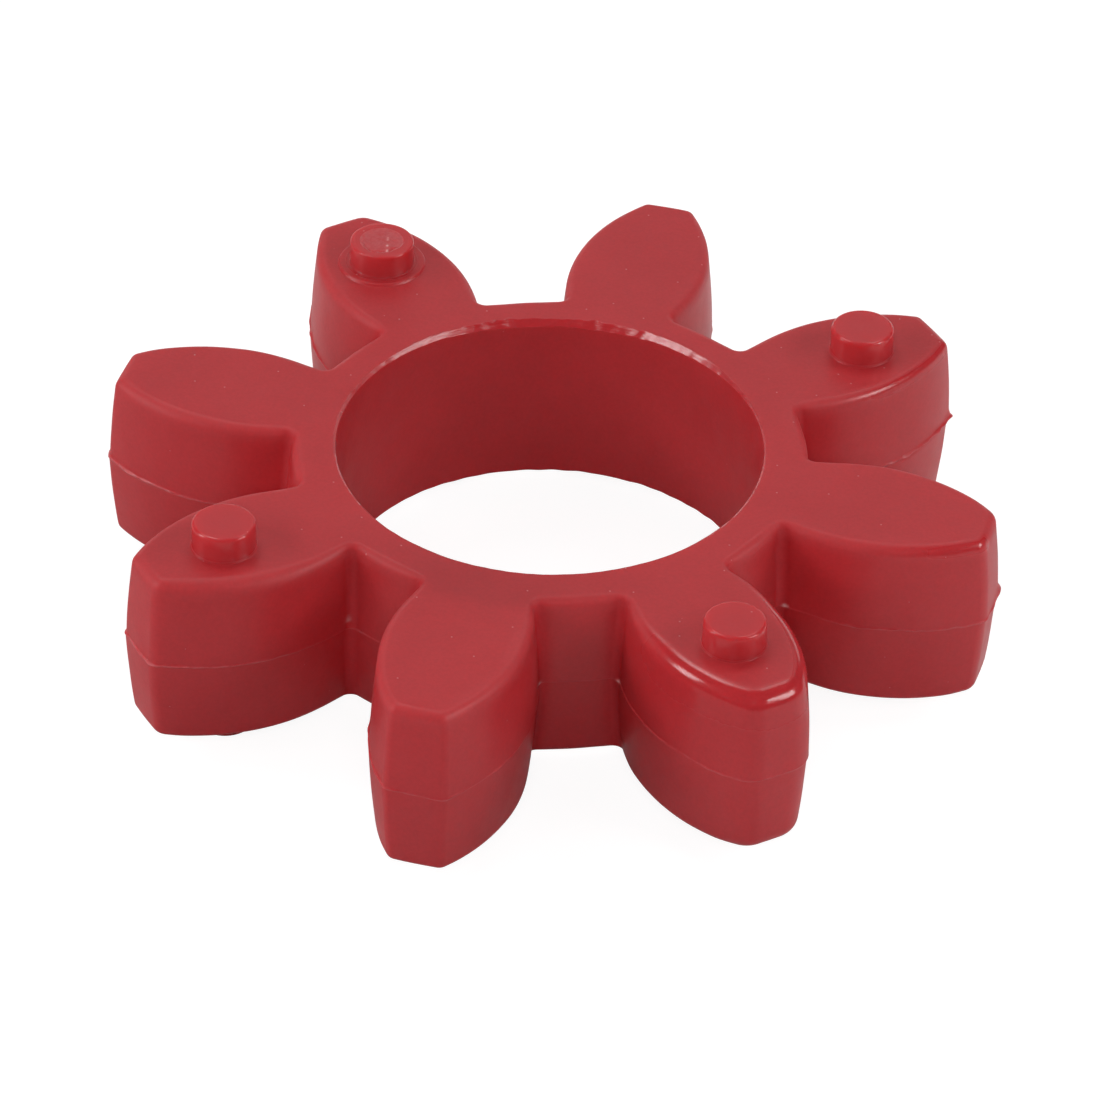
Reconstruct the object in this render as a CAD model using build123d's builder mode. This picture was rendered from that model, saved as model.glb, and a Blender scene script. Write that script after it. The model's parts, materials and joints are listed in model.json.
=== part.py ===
from build123d import *
import os

# Elastomer spider (insert) of a jaw coupling: one moulded piece with eight
# barrel-shaped legs around a ring, and standoff pips on every other leg, on both
# faces. All in millimetres.
# Origin: centre of the bore on the parting plane. +Z: coupling axis.
# +X runs through the middle of a leg that carries no pips.

# ---- Driving dimensions ----
outside_diameter = 105.0      # over the leg tips, at the parting plane
bore_diameter = 49.0          # clear bore, straight
body_thickness = 21.6         # ring and legs, without the pips
overall_height = 28.0         # over the pips: the gap between the two hub faces
leg_count = 8

ring_diameter = 60.4          # outside of the ring between the legs, at the parting plane
leg_half_width = 8.74         # widest half-width of a leg, at the parting plane
leg_widest_radius = 37.56     # distance of that widest point from the coupling axis
tip_half_width = 3.35         # half-width of the leg's tip, before its corners are rounded

draft_slope = 0.037           # draft where the walls leave the parting plane
crown_radius = 127.0          # curvature of the walls towards the top and bottom faces

tip_corner_radius = 1.25      # vertical corners of the leg tips
root_radius = 1.0             # where a leg's flank meets the ring
edge_radius = 1.0             # rounding around the top and bottom faces
bore_edge = 0.25              # small chamfer at both ends of the bore

pip_circle_radius = 41.6      # pips sit on this radius
pip_diameter = 7.2
pip_edge = 0.3                # rounding of the pips' free ends
underside_pip_diameter = 7.0
gate_pip_diameter = 7.6       # the pip the mould is filled through is a little fatter
gate_pad_diameter = 10.3      # low round pad at the foot of the gate pip
gate_pad_height = 0.3

# ---- Limits for picking edges ----
tip_zone = 3.0                # the tip corners lie within this depth of the outside
root_zone = 1.5               # the root corners lie within this distance of the ring wall
upright_share = 0.9           # an upright edge spans at least this share of the half height
root_length_share = 1.1       # a root edge is at most this long, in half heights
match_tolerance = 0.01        # for edges of a known size or height

# ---- Derived sizes ----
outside_radius = outside_diameter / 2
ring_radius = ring_diameter / 2
bore_radius = bore_diameter / 2
half = body_thickness / 2
pip_height = overall_height / 2 - half

# Each flank is an arc seen along Z. It passes through the widest point and the
# tip corner, and its centre lies on the far side of the leg's centre line.
flank_reach = outside_radius - leg_widest_radius
flank_offset = (flank_reach**2 + tip_half_width**2 - leg_half_width**2) / (
    2 * (leg_half_width - tip_half_width)
)
flank_radius = leg_half_width + flank_offset

# Every other leg carries pips, starting with the one next to +X
leg_pitch = 360 / leg_count
pip_angles = [leg_pitch * (2 * i + 1) for i in range(leg_count // 2)]
gate_pip_angle = pip_angles[1]
plain_top_angles = [angle for angle in pip_angles if angle != gate_pip_angle]

# Leg angles, diameter, height of the foot, signed height of the pip or pad
pip_rows = (
    (plain_top_angles, pip_diameter, half, pip_height),
    ([gate_pip_angle], gate_pad_diameter, half, gate_pad_height),
    ([gate_pip_angle], gate_pip_diameter, half, pip_height),
    (pip_angles, underside_pip_diameter, -half, -pip_height),
)


def wall_inset(z):
    """How far a wall has pulled in at height z above the parting plane."""
    return draft_slope * z + z**2 / (2 * crown_radius)


def half_barrel(radius):
    """Upper half of a crowned barrel on the Z axis, with this radius at its foot."""
    middle_radius = radius - wall_inset(half / 2)
    top_radius = radius - wall_inset(half)
    with BuildPart() as barrel:
        with BuildSketch(Plane.XZ):
            with BuildLine():
                Line((0, 0), (radius, 0))
                ThreePointArc((radius, 0), (middle_radius, half / 2), (top_radius, half))
                Line((top_radius, half), (0, half))
                Line((0, half), (0, 0))
            make_face()
        revolve(axis=Axis.Z)
    return barrel.part


def is_upright(edge):
    """Whether an edge runs nearly the full height of the half body."""
    return edge.bounding_box().size.Z > half * upright_share


def is_tip_corner(edge):
    return edge.center().X > outside_radius - tip_zone and is_upright(edge)


def is_root_corner(edge):
    center = edge.center()
    axis_distance = (center.X**2 + center.Y**2) ** 0.5
    return (
        is_upright(edge)
        and abs(axis_distance - ring_radius) < root_zone
        and edge.length < half * root_length_share
    )


flank_barrel = half_barrel(flank_radius)
tip_barrel = half_barrel(outside_radius)
ring_barrel = half_barrel(ring_radius)

# ---- Upper half of one leg, along +X ----
# Where three crowned barrels overlap: one for each flank and one for the tip.
with BuildPart() as leg:
    with Locations((leg_widest_radius, -flank_offset, 0)):
        add(flank_barrel)
    with Locations((leg_widest_radius, flank_offset, 0)):
        add(flank_barrel, mode=Mode.INTERSECT)
    add(tip_barrel, mode=Mode.INTERSECT)

    fillet(leg.edges().filter_by(is_tip_corner), tip_corner_radius)

# ---- The whole spider ----
with BuildPart() as spider:
    # Upper half: the ring, still solid in the middle, and the legs
    add(ring_barrel)
    with PolarLocations(0, leg_count):
        add(leg.part)

    # Concave corners where the flanks leave the ring
    fillet(spider.edges().filter_by(is_root_corner), root_radius)

    # Soft edge around the top face
    fillet(spider.faces().sort_by(Axis.Z)[-1].outer_wire().edges(), edge_radius)

    # Lower half
    mirror(about=Plane.XY)

    # Bore, with a small chamfer at both ends
    with BuildSketch(Plane.XY.offset(-half)):
        Circle(bore_radius)
    extrude(amount=body_thickness, mode=Mode.SUBTRACT)
    bore_rims = (
        spider.edges()
        .filter_by(GeomType.CIRCLE)
        .filter_by(lambda edge: abs(edge.radius - bore_radius) < match_tolerance)
    )
    chamfer(bore_rims, bore_edge)

    # Pips on both faces, and the pad under the gate pip
    for angles, diameter, foot_z, height in pip_rows:
        with BuildSketch(Plane.XY.offset(foot_z)):
            for angle in angles:
                with PolarLocations(pip_circle_radius, 1, start_angle=angle):
                    Circle(diameter / 2)
        extrude(amount=height)

    # Round the free end of every pip
    pip_rims = spider.edges().filter_by(
        lambda edge: abs(abs(edge.center().Z) - overall_height / 2) < match_tolerance
    )
    fillet(pip_rims, pip_edge)

spider.part.label = "spider"

os.makedirs("parts", exist_ok=True)
export_step(spider.part, "parts/spider.step")
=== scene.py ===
"""Moulded red polyurethane spider: a ring with a bore, eight legs and round pips on both faces.

Its axis is Z and its parting plane lies halfway up. Leg 0 points along +X and the legs
count anticlockwise seen from above. The front is -Y. The shape is worked out in
millimetres about its own centre, and turned into metres when the mesh is made.
"""

import json
import math

import bpy
import numpy as np
from mathutils import Matrix, Vector
from mathutils.geometry import delaunay_2d_cdt
from mathutils.kdtree import KDTree


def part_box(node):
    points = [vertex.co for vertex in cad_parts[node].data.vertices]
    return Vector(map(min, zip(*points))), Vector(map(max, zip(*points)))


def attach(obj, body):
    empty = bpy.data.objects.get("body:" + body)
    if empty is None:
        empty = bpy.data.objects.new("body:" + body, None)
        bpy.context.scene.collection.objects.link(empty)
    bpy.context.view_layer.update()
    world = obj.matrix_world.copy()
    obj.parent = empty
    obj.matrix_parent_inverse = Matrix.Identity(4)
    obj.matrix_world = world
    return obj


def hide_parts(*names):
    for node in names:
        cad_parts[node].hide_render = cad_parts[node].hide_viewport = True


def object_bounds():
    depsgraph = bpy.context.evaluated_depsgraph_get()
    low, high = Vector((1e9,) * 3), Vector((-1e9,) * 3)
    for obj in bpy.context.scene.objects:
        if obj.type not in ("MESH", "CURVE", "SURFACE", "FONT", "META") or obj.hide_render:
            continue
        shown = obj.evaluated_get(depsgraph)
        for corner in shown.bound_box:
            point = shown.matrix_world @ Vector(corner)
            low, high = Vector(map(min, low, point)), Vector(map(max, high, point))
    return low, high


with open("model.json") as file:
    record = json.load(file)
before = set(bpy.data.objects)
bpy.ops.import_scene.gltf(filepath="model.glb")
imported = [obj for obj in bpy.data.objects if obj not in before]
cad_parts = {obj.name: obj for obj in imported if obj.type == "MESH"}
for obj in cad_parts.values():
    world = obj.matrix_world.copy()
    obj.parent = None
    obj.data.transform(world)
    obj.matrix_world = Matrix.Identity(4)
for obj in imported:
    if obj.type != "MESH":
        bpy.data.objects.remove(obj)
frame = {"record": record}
cad_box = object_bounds()

# ---------------------------------------------------------------- sizes, in mm
MM = 0.001
box_low, box_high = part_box("spider")
CENTRE = (box_low + box_high) / 2
R_OUT = round((box_high.x - box_low.x) / 2 / MM, 1)     # over the leg tips
H_TIP = (box_high.z - box_low.z) / 2 / MM               # pip ends above the parting plane
H_BODY = R_OUT * 0.205714                               # half the body's thickness
bore_mount = next(m for m in frame["record"]["mounts"] if m["name"] == "bore")
R_BORE = bore_mount["dims"]["r_mm"]
R_RING = R_OUT * 0.575238                               # the ring between the legs

N_LEGS = 8
LEG_STEP = 2 * math.pi / N_LEGS
X_WIDEST, W_WIDEST = 37.56, 8.74    # a leg's widest place: its radius and half width
W_TIP = 3.35                        # half width at the tip
ROOT_R = 1.0                        # fillet between leg and ring
MIN_CORNER_R = 0.16
# A flank is an arc through the widest place and the tip, its centre across the leg's axis.
FLANK_OFF = ((R_OUT - X_WIDEST)**2 + W_TIP**2 - W_WIDEST**2) / (2 * (W_WIDEST - W_TIP))
FLANK_R = W_WIDEST + FLANK_OFF
DRAFT, CROWN_R = 0.037, 127.0       # the wall's slope at the parting plane, and its bulge

PIP_CIRCLE = 41.6                   # radius the pips stand on
PIP_HEIGHT = H_TIP - H_BODY
GATE_AZ = 135                       # azimuth of the fat pip with the torn gate, degrees
GATE_R, PAD_R, PAD_H = 3.78, 5.15, 0.30   # the fat pip, and the low pad round its foot
TEAR_TURN, TEAR_AT = 0.26, 0.75     # line of tears on the gate: its turn (rad) and offset

MISMATCH = np.array([0.07, 0.0])    # each mould half is moved this far, in opposite ways


# ---------------------------------------------------------------- small helpers
def smooth(start, end, x):
    t = np.clip((x - start) / (end - start), 0.0, 1.0)
    return t * t * (3 - 2 * t)


def between(x, start, end, soft):
    return smooth(start - soft, start + soft, x) * (1 - smooth(end - soft, end + soft, x))


def hump(x, at, spread):
    return np.exp(-((x - at) / spread) ** 2)


def waves(points, count, shortest, longest, seed):
    """Smooth, repeatable noise of about unit size: a sum of plane waves."""
    draw = np.random.default_rng(seed)
    heading = draw.normal(size=(count, 3))
    heading /= np.linalg.norm(heading, axis=1)[:, None]
    length = shortest * (longest / shortest) ** draw.random(count)
    phase = draw.random(count) * 2 * np.pi
    total = np.zeros(len(points))
    for i in range(count):
        total += np.sin(points @ heading[i] * (2 * np.pi / length[i]) + phase[i])
    return total / math.sqrt(count / 2)


def ring_noise(angle, seed, lowest, highest, count=14):
    """Repeatable noise round a closed loop; angle in radians, lowest and highest in
    waves per turn."""
    draw = np.random.default_rng(seed)
    turns = draw.integers(lowest, highest + 1, count)
    phase = draw.random(count) * 2 * np.pi
    total = sum(np.sin(turns[i] * angle + phase[i]) for i in range(count))
    return total / math.sqrt(count / 2)


def patchy(x, y, seed, shortest, longest, count=16):
    """Repeatable uneven height over a small flat patch, about -1 to 1."""
    draw = np.random.default_rng(seed)
    total = 0.0
    for _ in range(count):
        heading, phase = draw.random() * 2 * np.pi, draw.random() * 2 * np.pi
        rate = 2 * np.pi / (shortest * (longest / shortest) ** draw.random())
        total = total + np.sin(rate * (x * math.cos(heading) + y * math.sin(heading)) + phase)
    return total / math.sqrt(count)


def wall_inset(z):
    z = np.abs(z)
    return DRAFT * z + z * z / (2 * CROWN_R)


def wall_slope(z):
    return DRAFT + np.abs(z) / CROWN_R


def pip_centre(azimuth):
    angle = math.radians(azimuth)
    return PIP_CIRCLE * math.cos(angle), PIP_CIRCLE * math.sin(angle)


def revolve(rows, angle):
    """Points of (radius, z) rows turned about Z; either may vary with the angle."""
    radius = np.stack([row[0] + 0 * angle for row in rows])
    z = np.stack([row[1] + 0 * angle for row in rows])
    return np.stack([radius * np.cos(angle), radius * np.sin(angle), z], -1)


# ---------------------------------------------------------------- one leg's outline
# Half a leg, from the middle of its tip to the middle of the pocket, has five segments:
# tip, corner, flank, root and ring. Each has its column count and nominal length in mm.
SEG_COLS = (7, 10, 60, 10, 9)
SEG_LEN = np.array([3.3, 1.1, 24.0, 1.6, 3.2])
seg_start = np.concatenate([[0], np.cumsum(SEG_LEN)])
ccw_cols = [(seg, i / n) for seg, n in enumerate(SEG_COLS) for i in range(n)]
cw_cols = [(len(SEG_COLS) - 1, 1.0)] + ccw_cols[1:][::-1]
leg_seg = np.array([col[0] for col in cw_cols + ccw_cols])
leg_t = np.array([col[1] for col in cw_cols + ccw_cols])
leg_side = np.array([-1.0] * len(cw_cols) + [1.0] * len(ccw_cols))
LEG_COLS = len(leg_seg)
# Distance along the outline from the middle of the tip, negative on the clockwise side.
leg_s = (seg_start[leg_seg] + leg_t * SEG_LEN[leg_seg]) * leg_side

# Each leg as moulded: tip reach beyond R_OUT, vertical corner radii (clockwise, other),
# rounding of the top and bottom edges (clockwise flank, tip, other flank), and how far
# the parting flash stands out.
LEGS = [
    dict(reach=0.05, corner=(1.80, 2.10), top=(1.35, 1.35, 0.90), bottom=(0.9, 1.5, 1.0), flash=0.13),
    dict(reach=0.00, corner=(1.15, 1.20), top=(1.10, 1.20, 0.90), bottom=(0.9, 1.0, 0.9), flash=0.16),
    dict(reach=0.22, corner=(1.25, 1.20), top=(0.95, 0.75, 0.90), bottom=(0.9, 1.0, 0.9), flash=0.08),
    dict(reach=0.28, corner=(2.00, 1.40), top=(0.95, 1.10, 1.25), bottom=(0.9, 1.0, 0.9), flash=0.09),
    dict(reach=0.02, corner=(1.15, 1.30), top=(0.90, 1.35, 1.55), bottom=(0.9, 1.1, 0.9), flash=0.13),
    dict(reach=-0.02, corner=(1.45, 1.85), top=(1.00, 1.35, 1.75), bottom=(0.9, 1.0, 0.9), flash=0.13),
    dict(reach=0.00, corner=(1.25, 1.25), top=(1.10, 1.20, 1.10), bottom=(0.9, 0.9, 0.9), flash=0.08),
    dict(reach=0.00, corner=(3.40, 3.60), top=(2.20, 2.40, 2.10), bottom=(1.5, 2.1, 1.7), flash=0.05),
]
ROOT_S = 29.2                       # middle of the valley between flank and ring, along leg_s


def outline(k, inset, grow):
    """Plan position of leg k's columns where its walls have pulled in by inset.
    grow is how much of that belongs to the rounding of an edge, which uses up the
    corner radius and adds to the root radius. Both are rows x LEG_COLS."""
    flank_x, flank_y = X_WIDEST, -FLANK_OFF
    apart = math.hypot(flank_x, flank_y)
    unit_x, unit_y = flank_x / apart, flank_y / apart
    flank_r = FLANK_R - inset
    tip_r = R_OUT + LEGS[k]["reach"] - inset
    ring_r = R_RING - inset
    corner_r = np.maximum(np.where(leg_side < 0, *LEGS[k]["corner"]) - grow, MIN_CORNER_R)
    root_r = ROOT_R + grow

    def meet(r_axis, r_flank):
        """Where circles about the spider's axis and about the flank's centre meet."""
        t = (r_axis * r_axis - r_flank * r_flank + apart * apart) / (2 * apart)
        h = np.sqrt(np.maximum(r_axis * r_axis - t * t, 0))
        return t * unit_x - h * unit_y, t * unit_y + h * unit_x

    corner_x, corner_y = meet(tip_r - corner_r, flank_r - corner_r)
    root_x, root_y = meet(ring_r + root_r, flank_r + root_r)
    tip_end = np.arctan2(corner_y, corner_x)
    flank_start = np.arctan2(corner_y - flank_y, corner_x - flank_x)
    flank_end = np.arctan2(root_y - flank_y, root_x - flank_x)
    ring_start = np.arctan2(root_y, root_x)
    tip_a = leg_t * tip_end
    corner_a = tip_end + leg_t * (flank_start - tip_end)
    flank_a = flank_start + leg_t * (flank_end - flank_start)
    root_a = np.pi + flank_end + leg_t * (ring_start - flank_end)
    ring_a = ring_start + leg_t * (LEG_STEP / 2 - ring_start)
    x = np.choose(leg_seg, [
        tip_r * np.cos(tip_a), corner_x + corner_r * np.cos(corner_a),
        flank_x + flank_r * np.cos(flank_a), root_x + root_r * np.cos(root_a),
        ring_r * np.cos(ring_a)])
    y = leg_side * np.choose(leg_seg, [
        tip_r * np.sin(tip_a), corner_y + corner_r * np.sin(corner_a),
        flank_y + flank_r * np.sin(flank_a), root_y + root_r * np.sin(root_a),
        ring_r * np.sin(ring_a)])
    cos_leg, sin_leg = math.cos(k * LEG_STEP), math.sin(k * LEG_STEP)
    return x * cos_leg - y * sin_leg, x * sin_leg + y * cos_leg


def edge_radius(k, edge):
    """Rounding of the top or bottom edge along leg k's columns."""
    ring_edge, root_loss = 1.20, 0.40
    cw, tip, ccw = LEGS[k][edge]
    away = np.abs(leg_s)
    flank = np.where(leg_s < 0, cw, ccw)
    at_tip = 1 - smooth(2.5, 7.5, away)
    near_ring = smooth(18.0, 26.0, away)
    radius = flank * (1 - at_tip) + tip * at_tip
    return radius * (1 - near_ring) + ring_edge * near_ring - root_loss * hump(away, ROOT_S, 1.6)


# ---------------------------------------------------------------- outer wall
N_WALL, N_EDGE, N_CAP = 20, 9, 2    # rows of the plain wall, the rounded edge and the face
CAP_STEP = 0.28                     # width of a face row

# Rows across the parting line, upper half: height above it, share of the flash's reach.
flash_half = np.array([
    (0.0, 1.0), (0.045, 0.9), (0.11, 0.35), (0.2, 0.04), (0.32, 0), (0.5, 0),
    (0.75, 0), (1.1, 0), (1.6, 0)])
FLASH_Z = np.concatenate([-flash_half[:0:-1, 0], flash_half[:, 0]])
FLASH_SHARE = np.concatenate([flash_half[:0:-1, 1], flash_half[:, 1]])
FLASH_TOP = FLASH_Z[-1]
FLASH_MIN = 0.012
NOISE_R = 52.0                      # radius that turns leg_s into an angle for the noise

# Local lumps and dents of the flash: leg, place along leg_s, height out of the wall,
# half length, half height, how far above the parting line.
LUMPS = [
    (0, 4.3, 0.26, 1.7, 0.60, 0.0),
    (0, 1.5, 0.16, 2.5, 0.45, 0.0),
    (1, -4.3, 0.28, 1.0, 0.60, 0.0),
    (1, -13.0, 0.20, 9.0, 0.18, 0.02),
    (1, -13.0, -0.16, 10.0, 0.15, -0.42),
    (4, 9.0, 0.14, 5.0, 0.30, 0.0),
    (4, 4.4, 0.12, 0.8, 0.30, 0.0),
    (5, 5.5, 0.08, 3.0, 0.22, 0.0),
    (2, -4.4, 0.10, 0.8, 0.30, 0.0),
    (6, 4.4, 0.08, 0.8, 0.25, 0.0),
]


def half_wall(sign, edge_r):
    """Rows (z, inset, grow) of one mould half, from the flash to its face."""
    slope = np.arctan(wall_slope(H_BODY - edge_r))
    edge_z = H_BODY - edge_r * (1 - np.sin(slope))
    edge_inset = wall_inset(edge_z)
    rows = []
    for i in range(1, N_WALL + 1):
        z = FLASH_TOP + (edge_z - FLASH_TOP) * (i / N_WALL)
        rows.append((sign * z, wall_inset(z), np.zeros(LEG_COLS)))
    for i in range(1, N_EDGE + 1):
        turn = slope + (math.pi / 2 - slope) * i / N_EDGE
        z = edge_z + edge_r * (np.sin(turn) - np.sin(slope))
        grow = edge_r * (np.cos(slope) - np.cos(turn))
        rows.append((sign * z, edge_inset + grow, grow))
    grow = edge_r * np.cos(slope)
    for i in range(1, N_CAP + 1):
        step = CAP_STEP * i
        rows.append((sign * np.full(LEG_COLS, H_BODY), edge_inset + grow + step, grow + step))
    return rows


def flash_rows(k):
    """Rows (z, inset, grow) across leg k's parting line, from below to above."""
    angle = k * LEG_STEP + leg_s / NOISE_R
    away = np.abs(leg_s)
    reach = LEGS[k]["flash"] * (0.75 + 0.45 * ring_noise(angle, 11 + k, 20, 160, 18))
    reach = np.clip(reach, FLASH_MIN, None) * (1 - 0.75 * smooth(18, 25, away))
    wander = 0.05 * ring_noise(angle, 31 + k, 5, 40, 10)
    if k == 5:                      # its line rises past one corner
        wander = wander + 0.13 * smooth(3.5, 5.0, leg_s) * (1 - smooth(7.0, 9.0, leg_s))
    wander = wander * (1 - smooth(24, 30, away))
    rows = []
    for row_z, share in zip(FLASH_Z, FLASH_SHARE):
        inset = wall_inset(row_z) - share * reach
        for leg, place, height, half_length, half_height, above in LUMPS:
            if leg == k:
                inset = inset - (height * hump(leg_s, place, half_length)
                                 * hump(row_z, above, half_height))
        rows.append((row_z + wander * (1 - np.abs(row_z) / FLASH_TOP), inset, np.zeros(LEG_COLS)))
    return rows


def build_walls():
    """Outer wall as rows x columns of points, from the bottom face's edge to the top's."""
    legs = []
    for k in range(N_LEGS):
        below = half_wall(-1, edge_radius(k, "bottom"))[::-1]
        above = half_wall(1, edge_radius(k, "top"))
        z, inset, grow = (np.stack(part) for part in zip(*(below + flash_rows(k) + above)))
        x, y = outline(k, inset, grow)
        legs.append(np.stack([x, y, z], -1))
    return np.concatenate(legs, 1)


# ---------------------------------------------------------------- bore
BORE_COLS, BORE_STEPS = 640, 44
# Trimming cut round the bore's top rim: azimuth in degrees, width, depth. It is a
# thin broken edge at the front and a wide, faceted knife cut at the back.
CUT = np.array([
    (0, 0.22, 0.10), (18, 0.20, 0.10), (38, 0.30, 0.12), (50, 0.55, 0.18), (58, 0.78, 0.25),
    (66, 0.90, 0.30), (78, 1.00, 0.35), (79.5, 0.92, 0.44), (85, 0.90, 0.52),
    (95, 0.95, 0.66), (103, 0.72, 0.55), (112, 0.85, 0.64), (118, 0.98, 0.62),
    (127, 0.86, 0.50), (134, 0.74, 0.30), (135.5, 0.80, 0.24), (146, 0.70, 0.19),
    (156, 0.50, 0.14), (170, 0.40, 0.12), (186, 0.34, 0.12), (200, 0.20, 0.10),
    (230, 0.16, 0.10), (260, 0.20, 0.12), (300, 0.16, 0.10), (340, 0.20, 0.10), (360, 0.22, 0.10)])


def build_bore():
    """Bore wall as rows x BORE_COLS points, from the bottom rim to the top rim, and the
    slice of rows on the cut."""
    angle = np.arange(BORE_COLS) * 2 * np.pi / BORE_COLS
    degrees = np.degrees(angle)
    width = np.interp(degrees, CUT[:, 0], CUT[:, 1])
    depth = np.interp(degrees, CUT[:, 0], CUT[:, 2])
    width = (width * (1 + 0.06 * ring_noise(angle, 71, 15, 90))
             + 0.012 * ring_noise(angle, 72, 60, 200))
    depth = depth * (1 + 0.07 * ring_noise(angle, 73, 15, 90))
    back = smooth(80, 90, degrees) * (1 - smooth(126, 134, degrees))
    width = np.maximum(width + back * 0.07 * ring_noise(angle, 74, 30, 120), 0.1)
    depth = np.maximum(depth, 0.06)
    chamfer = 0.22 + 0.03 * ring_noise(angle, 75, 5, 60)        # of the bottom rim

    bottom, top = -H_BODY, H_BODY
    rows = [(R_BORE + (chamfer + 0.5), bottom), (R_BORE + (chamfer + 0.12), bottom),
            (R_BORE + chamfer, bottom), (R_BORE + (chamfer - 0.035), bottom + 0.02),
            (R_BORE + 0.035, bottom + chamfer - 0.02), (R_BORE, bottom + chamfer)]
    start, end = bottom + chamfer + 0.15, top - depth - 0.18
    rows += [(R_BORE, start + (end - start) * i / BORE_STEPS) for i in range(BORE_STEPS + 1)]
    rows += [(R_BORE, top - depth - 0.03), (R_BORE, top - depth)]
    cut_start = len(rows)
    rows += [(R_BORE + width * t, top - depth * (1 - t)) for t in (0.05, 0.35, 0.65, 0.95, 1.0)]
    cut_rows = slice(cut_start, len(rows))
    rows += [(R_BORE + width + beyond, top) for beyond in (0.03, 0.16, 0.5)]
    return revolve(rows, angle), cut_rows


# ---------------------------------------------------------------- pips
# Face (1 top, -1 bottom), azimuth in degrees, radius, widening towards the foot.
PIPS = [
    (1, 45, 3.66, 0.04), (1, 225, 3.60, 0.04), (1, 315, 3.48, 0.12),
    (-1, 45, 3.50, 0.04), (-1, 135, 3.52, 0.04), (-1, 225, 3.50, 0.04), (-1, 315, 3.46, 0.04),
]
# Fillet at a pip's foot: distance outside its radius, height above the face.
PIP_FOOT = [(0.55, 0.0), (0.27, 0.0), (0.20, 0.012), (0.145, 0.045), (0.12, 0.11)]
PIP_ROUNDING, GATE_ROUNDING = 0.42, 0.27
PIP_TOP_STEPS = (0.12, 0.4, 0.8, 1.2, 1.6, 2.0, 2.4, 2.8)   # rows inward from the rounding
# The pad round the fat pip and the pip's own foot: radius, height above the face.
GATE_FOOT = [
    (PAD_R + 0.35, 0.0), (PAD_R + 0.1, 0.0), (PAD_R + 0.04, 0.03), (PAD_R - 0.02, 0.13),
    (PAD_R - 0.09, 0.24), (PAD_R - 0.18, 0.285), (PAD_R - 0.3, PAD_H), (PAD_R - 0.7, PAD_H),
    (GATE_R + 0.25, PAD_H), (GATE_R + 0.12, PAD_H + 0.01), (GATE_R + 0.05, PAD_H + 0.04),
    (GATE_R + 0.02, PAD_H + 0.12)]
GATE_TOP_RADII = np.concatenate([
    [3.45, 3.38, 3.3, 3.2, 3.1, 3.0], np.arange(2.9, 1.9, -0.075), np.arange(1.85, 0.1, -0.13)])


def flat_top(radius, angle):
    return 0 * angle


def tear_line(x, y):
    """Distance across the gate's line of tears, and the unevenness along it."""
    across = x * math.cos(TEAR_TURN) + y * math.sin(TEAR_TURN)
    along = -x * math.sin(TEAR_TURN) + y * math.cos(TEAR_TURN)
    return across, patchy(0 * across, along, seed=92, shortest=0.5, longest=1.1)


def gate_top(radius, angle):
    """Height of the broken-off gate on the fat pip's end: a torn disc inside a low rim."""
    torn_r = (2.36 + 0.10 * np.sin(3 * angle + 0.6) + 0.07 * np.sin(7 * angle + 2.0)
              + 0.05 * np.sin(13 * angle))
    front = smooth(-0.2, 0.9, -np.sin(angle - TEAR_TURN))       # the side that tore deepest
    x, y = radius * np.cos(angle), radius * np.sin(angle)
    z = 0.020 * hump(radius, 3.20, 0.14)                        # the low rim
    z = z - (0.05 + 0.15 * front) * hump(radius, torn_r, 0.14)  # groove round the torn disc
    inside = smooth(torn_r + 0.05, torn_r - 0.25, radius)
    z = z + inside * (-0.045 + 0.026 * patchy(x, y, seed=91, shortest=0.7, longest=2.4))
    across, uneven = tear_line(x, y)
    z = z + inside * 0.07 * hump(across, TEAR_AT, 0.12) * np.clip(uneven, 0, 1)
    return np.minimum(z, 0.025)


def pip_patch(face, azimuth, radius, foot, top_radii, columns, draft, rounding,
              top_shape=flat_top):
    """Rows of a pip from its foot on the face inward over its end, and its middle point."""
    side_rows, round_rows = 7, 6
    angle = np.arange(columns) * 2 * np.pi / columns
    rows = list(foot)
    for z in np.linspace(foot[-1][1], PIP_HEIGHT - rounding, side_rows + 1)[1:]:
        rows.append((radius + draft * (1 - z / PIP_HEIGHT), z))
    for i in range(1, round_rows + 1):
        turn = math.pi / 2 * i / round_rows
        rows.append((radius - rounding * (1 - math.cos(turn)),
                     PIP_HEIGHT - rounding * (1 - math.sin(turn))))
    rows += [(r, PIP_HEIGHT + top_shape(r, angle)) for r in top_radii]
    x, y = pip_centre(azimuth)
    points = revolve(rows, angle) + np.array([x, y, H_BODY])
    middle = np.array([x, y, H_BODY + PIP_HEIGHT + np.mean(top_shape(0.0, angle))])
    mirror = np.array([1, 1, face])
    return points * mirror, middle * mirror


def build_pips():
    """(face, rows of points, middle point) of every pip, the fat one last."""
    pips = []
    for face, azimuth, radius, draft in PIPS:
        foot = [(radius + out, z) for out, z in PIP_FOOT]
        top_radii = [radius - PIP_ROUNDING - step for step in PIP_TOP_STEPS]
        pips.append((face, *pip_patch(face, azimuth, radius, foot, top_radii, columns=88,
                                      draft=draft, rounding=PIP_ROUNDING)))
    pips.append((1, *pip_patch(1, GATE_AZ, GATE_R, GATE_FOOT, GATE_TOP_RADII, columns=176,
                               draft=0.03, rounding=GATE_ROUNDING, top_shape=gate_top)))
    return pips


# ---------------------------------------------------------------- top and bottom faces
CAP_SPACING, CAP_CLEARANCE = 0.62, 0.42     # between filling points, and from them to a loop


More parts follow.
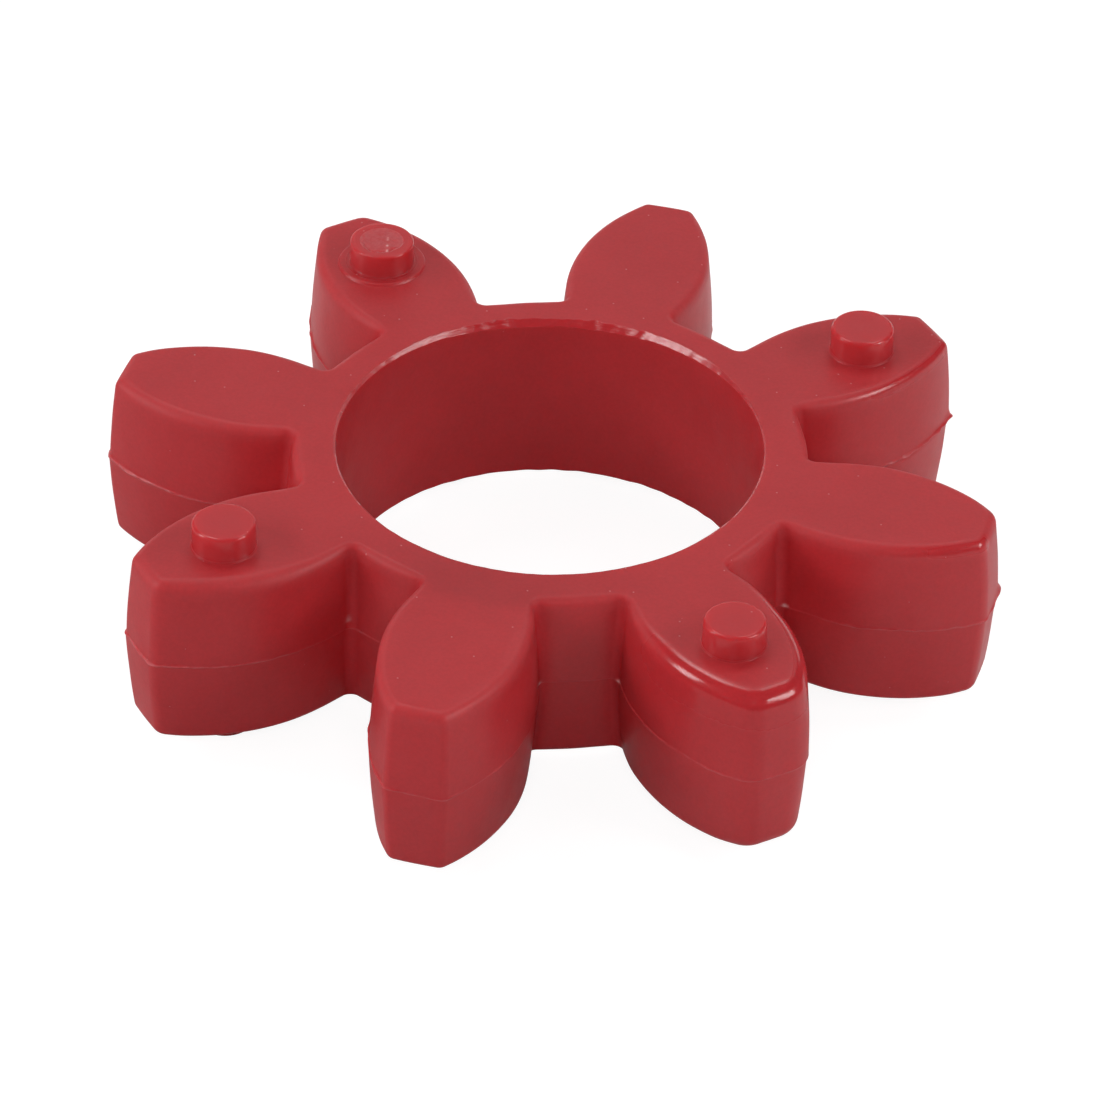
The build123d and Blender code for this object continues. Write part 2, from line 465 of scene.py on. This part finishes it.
def in_polygon(points, polygon, chunk=2000):
    x0, y0 = polygon[:, 0], polygon[:, 1]
    x1, y1 = np.roll(x0, -1), np.roll(y0, -1)
    inside = np.zeros(len(points), bool)
    for i in range(0, len(points), chunk):
        x, y = points[i:i + chunk, 0:1], points[i:i + chunk, 1:2]
        spans = (y0 > y) != (y1 > y)
        with np.errstate(divide="ignore", invalid="ignore"):
            crossing = (x1 - x0) * (y - y0) / (y1 - y0) + x0
        inside[i:i + chunk] = (np.sum(spans & (x < crossing), axis=1) % 2).astype(bool)
    return inside


def in_face(points, outer, holes):
    inside = in_polygon(points, outer)
    for hole in holes:
        inside &= ~in_polygon(points, hole)
    return inside


def fill_cap(outer, holes):
    """Triangles between an outer loop and holes, all given as N x 2 arrays.
    Returns the extra points and the triangles, indexed loops first, then extra points."""
    loops = [outer] + holes
    loop_points = np.concatenate(loops)
    edges, start = [], 0
    for loop in loops:
        n = len(loop)
        edges += [(start + i, start + (i + 1) % n) for i in range(n)]
        start += n
    low, high = outer.min(0), outer.max(0)
    row_pitch = 0.866               # of a triangular lattice, in spacings
    rows = int((high[1] - low[1]) / (CAP_SPACING * row_pitch)) + 1
    cols = int((high[0] - low[0]) / CAP_SPACING) + 1
    row, col = np.meshgrid(np.arange(rows), np.arange(cols), indexing="ij")
    extra = np.stack([low[0] + (col + 0.5 * (row % 2)) * CAP_SPACING,
                      low[1] + row * CAP_SPACING * row_pitch], -1).reshape(-1, 2)
    extra = extra[in_face(extra, outer, holes)]
    tree = KDTree(len(loop_points))
    for i, (x, y) in enumerate(loop_points):
        tree.insert((x, y, 0), i)
    tree.balance()
    clear = np.array([tree.find((x, y, 0))[2] for x, y in extra])
    extra = extra[clear > CAP_CLEARANCE]
    points = np.concatenate([loop_points, extra])
    result = delaunay_2d_cdt([Vector((float(x), float(y))) for x, y in points],
                             edges, [], 0, 1e-6)
    if len(result[0]) != len(points):
        raise RuntimeError("the cap fill merged or split points: %d in, %d out"
                           % (len(points), len(result[0])))
    order = np.array([sources[0] for sources in result[3]])
    triangles = order[np.array(result[2], int)]
    return extra, triangles[in_face(points[triangles].mean(1), outer, holes)]


# ---------------------------------------------------------------- put the moulding together
class Shell:
    """Collects the moulding's points and faces."""

    def __init__(self):
        self.points, self.faces, self.count = [], [], 0

    def add(self, points):
        """Adds points and returns their indices in the same layout."""
        flat = points.reshape(-1, 3)
        index = np.arange(self.count, self.count + len(flat)).reshape(points.shape[:-1])
        self.points.append(flat)
        self.count += len(flat)
        return index

    def cover(self, faces, flip):
        self.faces.append(faces[:, ::-1] if flip else faces)

    def band(self, index, flip=False):
        """Quads of a closed band: index is rows x columns."""
        a, b = index[:-1], index[1:]
        quads = np.stack([a, np.roll(a, -1, 1), np.roll(b, -1, 1), b], -1)
        self.cover(quads.reshape(-1, 4), flip)


def build_spider():
    """Points, face arrays, and the point indices of the wall and of the bore's cut."""
    shell = Shell()
    wall = build_walls()
    wall_index = shell.add(wall)
    shell.band(wall_index)
    bore, cut_rows = build_bore()
    bore_index = shell.add(bore)
    shell.band(bore_index, flip=True)

    feet = {1: [], -1: []}
    for face, points, middle in build_pips():
        index, middle_index = shell.add(points), shell.add(middle)
        shell.band(index, flip=face < 0)
        last = index[-1]
        fan = np.stack([last, np.roll(last, -1), np.full(len(last), middle_index)], -1)
        shell.cover(fan, flip=face < 0)
        feet[face].append((index[0], points[0][:, :2]))

    for face, row in ((1, -1), (-1, 0)):
        hole_index = [bore_index[row]] + [foot[0] for foot in feet[face]]
        holes = [bore[row][:, :2]] + [foot[1] for foot in feet[face]]
        extra, triangles = fill_cap(wall[row][:, :2], holes)
        extra_index = shell.add(np.column_stack([extra, np.full(len(extra), face * H_BODY)]))
        lookup = np.concatenate([wall_index[row]] + hole_index + [extra_index])
        shell.cover(lookup[triangles], flip=face < 0)
    return np.concatenate(shell.points), shell.faces, wall_index, bore_index[cut_rows]


def vertex_normals(points, faces):
    normals = np.zeros_like(points)
    for group in faces:
        a, b, c = (points[group[:, i]] for i in range(3))
        normal = np.cross(b - a, c - a)
        if group.shape[1] == 4:
            normal = normal + np.cross(c - a, points[group[:, 3]] - a)
        for i in range(group.shape[1]):
            np.add.at(normals, group[:, i], normal)
    return normals / np.maximum(np.linalg.norm(normals, axis=1), 1e-12)[:, None]


def make_wavy(points, faces):
    """Slight waviness of moulded rubber, never on the pip ends' height."""
    normals = vertex_normals(points, faces)
    height = (0.030 * waves(points, count=26, shortest=9.0, longest=34.0, seed=5)
              + 0.008 * waves(points, count=24, shortest=3.0, longest=7.0, seed=6))
    keep = 1 - smooth(H_BODY + 0.4, H_BODY + 1.2, np.abs(points[:, 2]))
    upright = 1 - np.abs(normals[:, 2])
    return points + normals * (height * keep * (0.45 + 0.55 * upright))[:, None]


def make_mesh(name, points, faces, normals):
    mesh = bpy.data.meshes.new(name)
    groups = [f for f in faces if f.shape[1] == 4] + [f for f in faces if f.shape[1] == 3]
    corners = np.concatenate([f.reshape(-1) for f in groups]).astype(np.int32)
    sizes = np.concatenate([np.full(len(f), f.shape[1]) for f in groups]).astype(np.int32)
    starts = np.concatenate([[0], np.cumsum(sizes)[:-1]]).astype(np.int32)
    mesh.vertices.add(len(points))
    mesh.vertices.foreach_set("co", points.astype(np.float32).ravel())
    mesh.loops.add(len(corners))
    mesh.loops.foreach_set("vertex_index", corners)
    mesh.polygons.add(len(sizes))
    mesh.polygons.foreach_set("loop_start", starts)
    mesh.polygons.foreach_set("loop_total", sizes)
    mesh.polygons.foreach_set("use_smooth", np.ones(len(sizes), bool))
    mesh.update(calc_edges=True)
    mesh.validate()
    mesh.normals_split_custom_set_from_vertices(normals.astype(np.float32))
    return mesh


# ---------------------------------------------------------------- surface marks
# How pale each leg's flash ridge is, legs 0 to 7.
RIDGE_PALE = np.array([0.7, 0.9, 0.45, 0.45, 1.0, 1.0, 0.45, 0.45])
# Pale nicks in the roots: leg, place along leg_s, height.
NICKS = [(6, 28.9, 0.1), (7, -28.7, 0.0), (0, -28.6, 0.1), (5, 28.8, 1.3)]


def surface_marks(points, ring_radius, wall, cut):
    """Where the surface differs, 0 to 1 at each point, for the material to read."""
    x, y, z = points.T
    wall_z = z[wall]
    col_leg, col_s = np.repeat(np.arange(N_LEGS), LEG_COLS), np.tile(leg_s, N_LEGS)

    def on_wall(values):
        mark = np.zeros(len(points))
        mark[wall] = values
        return mark

    cut_face = np.zeros(len(points))
    cut_face[cut] = 1.0

    # the torn end of the gate, and the line of tears across it
    gate_x, gate_y = pip_centre(GATE_AZ)
    torn = (np.hypot(x - gate_x, y - gate_y) < 2.6) & (z > H_BODY + 2.5)
    across, uneven = tear_line(x - gate_x, y - gate_y)
    tear = torn * hump(across, TEAR_AT, 0.13) * np.clip(1.6 * uneven, 0, 1)

    # pips
    centres = [pip_centre(azimuth) for azimuth in (45, 135, 225, 315)]
    pip_r = np.min([np.hypot(x - cx, y - cy) for cx, cy in centres], axis=0)
    on_pip = smooth(4.6, 4.1, pip_r) * smooth(H_BODY + 0.05, H_BODY + 0.4, np.abs(z))

    # polished places: the worn tip of leg 7, the pips, and edges on the clockwise
    # sides of legs 0 and 1
    tip_x, tip_y = math.cos(-LEG_STEP), math.sin(-LEG_STEP)
    gloss = (smooth(31, 40, x * tip_x + y * tip_y)
             * smooth(11.5, 10.0, np.abs(y * tip_x - x * tip_y))
             * smooth(4.5, 9.0, z) * smooth(H_BODY - 0.005, H_BODY - 0.11, z))
    gloss = np.maximum(gloss, 0.95 * on_pip)
    shine = np.select([col_leg == 0, col_leg == 1], [
        0.75 * smooth(-19.0, -7.0, col_s) * smooth(-1.4, -3.2, col_s),
        0.8 * between(col_s, -21.0, -1.0, soft=5.0)], 0.0)
    gloss = np.maximum(gloss, on_wall(
        shine * smooth(8.6, 9.8, wall_z) * smooth(H_BODY - 0.03, H_BODY - 0.22, wall_z)))

    # scuffed top edges, tinted paler as partly real scuffing and partly painted sheen, and ripples in
    # two of them
    wear_and_sheen = on_wall(smooth(8.6, 9.9, wall_z) * (1 - gloss[wall])
                   * smooth(H_BODY - 0.001, H_BODY - 0.06, wall_z))
    rippled = np.select([col_leg == 1, col_leg == 0],
                        [between(col_s, -20.0, -1.0, soft=5.0), 0.35], 0.0)
    ripple = on_wall(rippled * smooth(8.2, 9.6, wall_z))

    # the pale ridge of the parting flash, painted shade in the groove under it, and the root nicks
    ridge = np.zeros(len(points))
    first = N_WALL + N_EDGE + N_CAP
    pale = RIDGE_PALE[col_leg] * (1 - 0.6 * smooth(17, 26, np.abs(col_s)))
    ridge[wall[first:first + len(FLASH_SHARE)]] = FLASH_SHARE[:, None] * pale
    shaded_groove_span = np.where(col_leg == 1, between(col_s, -25.0, -3.0, soft=1.5), 0.0)
    groove_shade = on_wall(shaded_groove_span * hump(wall_z, -0.36, 0.13))
    nick = on_wall(np.max([
        np.where(col_leg == leg, hump(col_s, place, 0.30), 0.0) * hump(wall_z, height, 0.22)
        for leg, place, height in NICKS], axis=0))

    # the dull valleys where the flanks meet the ring, and painted shade that darkens the front of the
    # ring
    valley = on_wall(hump(np.abs(col_s), ROOT_S, 1.3)
                     * smooth(H_BODY + 0.1, H_BODY - 0.5, np.abs(wall_z)))
    azimuth = np.degrees(np.arctan2(y, x)) % 360
    front_painted_shade = (hump(azimuth, 272, 26.0) * smooth(33.0, 29.0, ring_radius)
            * smooth(H_BODY - 0.6, H_BODY - 0.1, z))
    return dict(on_pip=on_pip, front_painted_shade=front_painted_shade, cut_face=cut_face, torn_face=torn, gloss=gloss,
                ripple=ripple, ridge=ridge, valley=valley, wear_and_sheen=wear_and_sheen, tear=tear,
                groove_shade=groove_shade, nick=nick)


def new_object(name, data):
    thing = bpy.data.objects.new(name, data)
    bpy.context.scene.collection.objects.link(thing)
    return thing


def moulding():
    points, faces, wall, cut = build_spider()
    points = make_wavy(points, faces)
    # The mould halves meet slightly out of line; the bore is cored in one piece.
    ring_radius = np.hypot(points[:, 0], points[:, 1])
    half = (smooth(-0.05, 0.05, points[:, 2]) * 2 - 1) * smooth(26.5, 28.0, ring_radius)
    points[:, :2] += half[:, None] * MISMATCH
    mesh = make_mesh("spider_moulding", points * MM + np.array(CENTRE), faces,
                     vertex_normals(points, faces))
    for name, values in surface_marks(points, ring_radius, wall, cut).items():
        attribute = mesh.attributes.new(name, "FLOAT", "POINT")
        attribute.data.foreach_set("value", values.astype(np.float32))
    return new_object("spider_moulding", mesh)


# ---------------------------------------------------------------- shader helper
class Nodes:
    """A short way to write shader nodes: each call makes one node, sets or links its
    inputs (by name, or by number as _0, _1) and returns one of its outputs."""

    def __init__(self, owner):
        owner.use_nodes = True
        self.tree = owner.node_tree
        self.tree.nodes.clear()

    def __call__(self, kind, out=0, props=None, **inputs):
        made = self.tree.nodes.new("ShaderNode" + kind)
        for name, value in (props or {}).items():
            setattr(made, name, value)
        for name, value in inputs.items():
            socket = made.inputs[int(name[1:]) if name[0] == "_" else name.replace("_", " ")]
            if hasattr(value, "is_output"):
                self.tree.links.new(value, socket)
            else:
                socket.default_value = value
        return made.outputs[out]

    def output(self, kind, surface):
        made = self.tree.nodes.new("ShaderNode" + kind)
        self.tree.links.new(surface, made.inputs[0])

    def math(self, operation, a, b):
        return self("Math", props=dict(operation=operation), _0=a, _1=b, _2=0.0)

    def add(self, a, b):
        return self.math("ADD", a, b)

    def mul(self, a, b):
        return self.math("MULTIPLY", a, b)

    def vector(self, operation, out=0, **inputs):
        return self("VectorMath", out=out, props=dict(operation=operation), **inputs)

    def ramp(self, x, over, to=(0.0, 1.0)):
        return self("MapRange", props=dict(interpolation_type="SMOOTHSTEP"), Value=x,
                    From_Min=over[0], From_Max=over[1], To_Min=to[0], To_Max=to[1])

    def noise(self, place, per_mm, detail=2.0, rough=0.5, warp=0.0):
        return self("TexNoise", Vector=place, Scale=per_mm, Detail=detail, Roughness=rough,
                    Distortion=warp)

    def mix_colour(self, amount, under, over):
        return self("Mix", out=2, props=dict(data_type="RGBA"), _0=amount, _6=under, _7=over)

    def mix_value(self, amount, under, over):
        return self("Mix", props=dict(data_type="FLOAT"), _0=amount, _2=under, _3=over)


# ---------------------------------------------------------------- red polyurethane
RED = (0.483, 0.0285, 0.0345)
DUST_PINK = (0.68, 0.30, 0.31, 1)
# painted light: the brighter red the pips are tinted for the light they let through
PIP_LIT_RED = (0.53, 0.046, 0.053, 1)
# paler tint of the scuffed edges: partly real scuffing, partly painted sheen
SCUFF_SHEEN_PINK = (0.60, 0.34, 0.35, 1)
FLASH_PINK = (0.60, 0.14, 0.15, 1)
TORN_PINK = (0.60, 0.17, 0.18, 1)
TEAR_PINK = (0.80, 0.52, 0.52, 1)
# painted shade: the dark red of the groove under leg 1's flash ridge
GROOVE_SHADE_RED = (0.20, 0.010, 0.012, 1)
# Dust specks: cell size and speck radius in mm, offset of the pattern, and 0 where the
# pattern is flat in plan.
SPECKS = ((3.7, 0.095, 0.0, 1.0), (7.0, 0.14, 37.0, 1.0), (7.2, 0.125, 71.0, 0.0))


def dust(node, place, up):
    """Sparse pale specks of a tenth of a millimetre."""
    layers = []
    for cell, size, offset, solid in SPECKS:
        flattened = node.vector("MULTIPLY", _0=place, _1=(1, 1, solid))
        moved = node.vector("ADD", _0=flattened, _1=(offset, offset * 0.7, offset * 1.3))
        distance = node("TexVoronoi", props=dict(voronoi_dimensions="3D" if solid else "2D"),
                        Vector=moved, Scale=1.0 / cell, Randomness=1.0)
        layers.append(node.ramp(node.mul(distance, cell), over=(size, size * 0.55)))
    lying = node.mul(layers[2], node.ramp(up, over=(0.90, 0.97)))   # on the level faces
    return node.math("MAXIMUM", node.math("MAXIMUM", layers[0], layers[1]), lying)


def skin_colour(node, place, mark, speck, up):
    # cloudy on the scale of a leg, faintly streaked on the scale of a millimetre
    cloud = node.noise(place, per_mm=0.07, detail=3.0, rough=0.55, warp=0.6)
    streak = node.noise(place, per_mm=0.55, detail=4.0, rough=0.6, warp=1.2)
    mottle = node.noise(place, per_mm=2.3, rough=0.6)
    shade = node.add(node.ramp(cloud, over=(0.30, 0.70), to=(0.970, 1.030)),
                     node.ramp(streak, over=(0.25, 0.75), to=(-0.022, 0.022)))
    shade = node.add(shade, node.ramp(mottle, over=(0.25, 0.75), to=(-0.045, 0.045)))
    # painted shade: the front of the ring is darkened
    shade = node.mul(shade, node.ramp(mark["front_painted_shade"], over=(0.0, 1.0), to=(1.0, 0.87)))
    colour = node("CombineColor", Red=node.mul(shade, RED[0]), Green=node.mul(shade, RED[1]),
                  Blue=node.mul(shade, RED[2]))

    flash_noise = node.noise(place, per_mm=0.7, detail=3.0, rough=0.6)
    torn_noise = node.noise(place, per_mm=1.6, detail=4.0, rough=0.65)
    dusty = node.mul(speck, node.ramp(up, over=(-0.2, 0.9), to=(0.35, 0.62)))
    flash = node.mul(mark["ridge"], node.ramp(flash_noise, over=(0.35, 0.65), to=(0.25, 0.75)))
    torn = node.mul(mark["torn_face"],
                    node.ramp(torn_noise, over=(0.35, 0.65), to=(0.05, 0.36)))
    broken = node.math("MAXIMUM", node.mul(mark["tear"], 0.8), node.mul(mark["nick"], 0.75))
    # painted light: thin pips are tinted brighter for the light they let through, scuffed edges paler,
    # partly real scuffing and partly painted sheen, and the groove under a flash ridge darker as
    # painted shade
    for amount, tint in (
            (dusty, DUST_PINK), (node.mul(mark["on_pip"], 0.5), PIP_LIT_RED),
            (node.mul(mark["wear_and_sheen"], 0.032), SCUFF_SHEEN_PINK), (flash, FLASH_PINK),
            (torn, TORN_PINK), (broken, TEAR_PINK),
            (node.mul(mark["groove_shade"], 0.55), GROOVE_SHADE_RED)):
        colour = node.mix_colour(amount, colour, tint)
    return colour


def skin_roughness(node, place, mark, speck):
    """Uneven haze; the knife cut and the polished places shine."""
    smudge_noise = node.noise(place, per_mm=0.11, detail=5.0, rough=0.62, warp=0.4)
    haze = node.noise(place, per_mm=0.16, detail=3.0, rough=0.55)
    fine = node.noise(place, per_mm=1.9)
    smudge = node.ramp(smudge_noise, over=(0.50, 0.75))
    rough = node.add(node.ramp(haze, over=(0.3, 0.7), to=(0.34, 0.39)), node.mul(smudge, 0.04))
    rough = node.add(rough, node.ramp(fine, over=(0.3, 0.7), to=(-0.008, 0.008)))
    for where, level in ((mark["wear_and_sheen"], 0.54), (mark["gloss"], 0.16), (mark["cut_face"], 0.13),
                         (mark["torn_face"], 0.40), (speck, 0.60)):
        rough = node.mix_value(where, rough, level)
    return rough


def skin_relief(node, place, mark, speck):
    """Bumped normal; heights in metres."""
    grain_height, peel_height, speck_height = 2.6e-6, 1.2e-5, 3e-5
    grain = node.noise(place, per_mm=4.2, rough=0.6)
    peel = node.noise(place, per_mm=0.42)
    calm = node.ramp(node.math("MAXIMUM", mark["cut_face"], mark["gloss"]),
                     over=(0.0, 1.0), to=(1.0, 0.35))
    height = node.add(node.mul(node.mul(grain, grain_height), calm),
                      node.mul(peel, peel_height))
    # the knife's streaks run round the bore
    x, y, z = (node("SeparateXYZ", out=i, Vector=place) for i in range(3))
    radius = node.vector("LENGTH", out=1, _0=node("CombineXYZ", X=x, Y=y))
    round_bore = node("CombineXYZ", X=node.mul(node.math("ARCTAN2", y, x), 7.0),
                      Y=node.mul(radius, 5.0), Z=node.mul(z, 5.0))
    torn = node.noise(place, per_mm=2.6, detail=3.0, rough=0.65)
    streaks = node.noise(round_bore, per_mm=1.0, detail=3.0, rough=0.6)
    ripple = node.noise(place, per_mm=1.1, detail=3.0, rough=0.6)
    for texture, where, depth in ((torn, "torn_face", 6e-5), (streaks, "cut_face", 5e-5),
                                  (ripple, "ripple", 6e-5)):
        local = node.mul(node.mul(node.add(texture, -0.5), mark[where]), depth)
        height = node.add(height, local)
    height = node.add(height, node.mul(speck, speck_height))
    return node("Bump", Strength=1.0, Distance=1.0, Height=height)


def polyurethane():
    """Cast red polyurethane: deep, slightly cloudy red under a hazy semi-gloss skin."""
    material = bpy.data.materials.new("red_polyurethane")
    node = Nodes(material)
    place = node.vector("SCALE", _0=node("TexCoord", out=3), _3=1 / MM)     # millimetres
    mark = {name: node("Attribute", out=2, props=dict(attribute_name=name))
            for name in ("cut_face", "torn_face", "gloss", "ripple", "ridge", "valley",
                         "wear_and_sheen", "tear", "on_pip", "front_painted_shade", "groove_shade", "nick")}
    up = node("SeparateXYZ", out=2, Vector=node("NewGeometry", out=1))
    speck = dust(node, place, up)
    # the cut reflects more, the valleys less
    reflection = node.mul(node.add(0.42, node.mul(mark["cut_face"], 0.85)),
                          node.ramp(mark["valley"], over=(0.0, 1.0), to=(1.0, 0.25)))
    # a little red light travels some millimetres under the skin
    node.output("OutputMaterial", node(
        "BsdfPrincipled",
        Base_Color=skin_colour(node, place, mark, speck, up),
        Roughness=skin_roughness(node, place, mark, speck),
        Normal=skin_relief(node, place, mark, speck),
        IOR=1.5,
        Specular_IOR_Level=reflection,
        Subsurface_Weight=node.ramp(mark["on_pip"], over=(0.0, 1.0), to=(0.30, 0.55)),
        Subsurface_Radius=(1.0, 0.06, 0.06),
        Subsurface_Scale=0.005))
    return material


spider = moulding()
spider.data.materials.append(polyurethane())
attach(spider, "root")
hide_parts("spider")

# ---------------------------------------------------------------- floor
FLOOR_HALF = 4.0                    # metres
# the floor's colour, as the object sees it, is painted brightest towards this azimuth
BRIGHT = math.radians(45)           # azimuth of the side the table is brightest on


def floor_white():
    """A white sweep: matt to the object, with painted shade on its front left, and over-lit to the
    camera so it reads as white.
    """
    material = bpy.data.materials.new("floor_white")
    node = Nodes(material)
    # painted shade: as the object sees it, the floor's colour is darker at the front left and bright
    # at the back right
    bright_side = node.vector("DOT_PRODUCT", out=1, _0=node("NewGeometry"),
                              _1=(math.cos(BRIGHT), math.sin(BRIGHT), 0.0))
    painted_floor_shade = node.ramp(bright_side, over=(-0.060, 0.070), to=(0.54, 0.95))
    matt = node("BsdfDiffuse", Color=node("CombineColor", Red=painted_floor_shade, Green=painted_floor_shade, Blue=painted_floor_shade))
    away = node.vector("LENGTH", out=1, _0=node("NewGeometry"))
    glow = node.ramp(away, over=(0.20, 0.80), to=(0.91, 1.02))
    seen = node("AddShader", _0=node("BsdfDiffuse", Color=(0.22, 0.22, 0.22, 1)),
                _1=node("Emission", Color=(1, 1, 1, 1), Strength=glow))
    node.output("OutputMaterial", node("MixShader", _0=node("LightPath"), _1=matt, _2=seen))
    return material


def floor():
    mesh = bpy.data.meshes.new("floor")
    corners = ((-1, -1), (1, -1), (1, 1), (-1, 1))
    mesh.from_pydata([(x * FLOOR_HALF, y * FLOOR_HALF, cad_box[0].z) for x, y in corners],
                     [], [(0, 1, 2, 3)])
    table = new_object("floor", mesh)
    mesh.materials.append(floor_white())


floor()

# ---------------------------------------------------------------- camera
CAMERA_AZ = math.radians(15.2157)       # from -Y towards +X
CAMERA_EL = math.radians(36.5874)
CAMERA_ROLL = math.radians(1.5053)
CAMERA_DISTANCE = 13.0852 * R_OUT * MM  # metres from the spider's centre
SENSOR, LENS = 36.0, 194.807455         # mm
SHIFT_X, SHIFT_Y = 0.00190164, -0.02713  # of the picture's width


def camera():
    data = bpy.data.cameras.new("camera")
    eye = new_object("camera", data)
    back = Vector((math.sin(CAMERA_AZ) * math.cos(CAMERA_EL),
                   -math.cos(CAMERA_AZ) * math.cos(CAMERA_EL), math.sin(CAMERA_EL)))
    level = Vector((math.cos(CAMERA_AZ), math.sin(CAMERA_AZ), 0))
    upright = level.cross(-back)
    right = level * math.cos(CAMERA_ROLL) + upright * math.sin(CAMERA_ROLL)
    up = upright * math.cos(CAMERA_ROLL) - level * math.sin(CAMERA_ROLL)
    matrix = Matrix((right, up, back)).transposed().to_4x4()
    matrix.translation = Vector(CENTRE) + back * CAMERA_DISTANCE
    eye.matrix_world = matrix
    data.sensor_width = SENSOR
    data.lens = LENS
    data.shift_x, data.shift_y = SHIFT_X, SHIFT_Y
    data.clip_start, data.clip_end = 0.01, 50
    bpy.context.scene.camera = eye


camera()

# ---------------------------------------------------------------- lights
LIGHT_DISTANCE = 0.9                # metres from the spider's centre
# Softboxes: name, azimuth, elevation, width and height in degrees seen from the object,
# and radiance, where 1 is paper white.
# Fill lights that shape the colour only; the skin doesn't mirror them.
FILLS = [
    ("front_left", 214, 24, 18, 18, 5.4),
    ("front_left_low", 240, 24, 16, 16, 4.8),
    ("side_left", 176, 7, 36, 14, 4.0),
    ("side_right", 18, 9, 18, 14, 2.4),
    ("front_right", 346, 30, 17, 17, 5.8),
    ("camera_fill", 286, 40, 18, 18, 8.8),
    ("high_left", 192, 30, 12, 12, 11.0),
    ("high_right", 21, 30, 12, 12, 13.5),
]
# Panels that are also seen mirrored in it: two keys and a pale sweep behind.
PANELS = [
    ("key_back_left", 141, 62, 17, 17, 5.2),
    ("key_back_right", 78, 59, 17, 17, 3.7),
    ("sweep_back", 104, 7, 70, 14, 1.3),
    ("sweep_upper", 105, 34, 64, 23, 0.47),
]
# A window on each side, only seen mirrored.
WINDOWS = [
    ("window_left", 203, 30, 14, 20, 10.0),
    ("window_right", 353, 30, 22, 20, 10.0),
]


def softbox(name, azimuth, elevation, wide, high, glow, mirrored, lights):
    data = bpy.data.lights.new(name, "AREA")
    data.shape = "RECTANGLE"
    data.size = 2 * LIGHT_DISTANCE * math.tan(math.radians(wide / 2))
    data.size_y = 2 * LIGHT_DISTANCE * math.tan(math.radians(high / 2))
    data.energy = math.pi * data.size * data.size_y * glow
    panel = new_object(name, data)
    az, el = math.radians(azimuth), math.radians(elevation)
    out = Vector((math.cos(az) * math.cos(el), math.sin(az) * math.cos(el), math.sin(el)))
    side = Vector((-math.sin(az), math.cos(az), 0))
    turn = Matrix((side, out.cross(side), out)).transposed().to_4x4()
    panel.matrix_world = Matrix.Translation(Vector(CENTRE) + out * LIGHT_DISTANCE) @ turn
    panel.visible_camera = False
    panel.visible_glossy = mirrored
    panel.visible_diffuse = lights


for boxes, mirrored, lights in ((FILLS, False, True), (PANELS, True, True),
                                (WINDOWS, True, False)):
    for box in boxes:
        softbox(*box, mirrored=mirrored, lights=lights)


def studio():
    """The room: dim to the object, white to the camera."""
    world = bpy.data.worlds.new("studio")
    bpy.context.scene.world = world
    node = Nodes(world)
    strength = node.mix_value(node("LightPath"), under=0.02, over=1.0)
    node.output("OutputWorld", node("Background", Color=(1, 1, 1, 1), Strength=strength))


studio()
bpy.context.scene.view_settings.view_transform = "Standard"
bpy.context.scene.view_settings.look = "None"
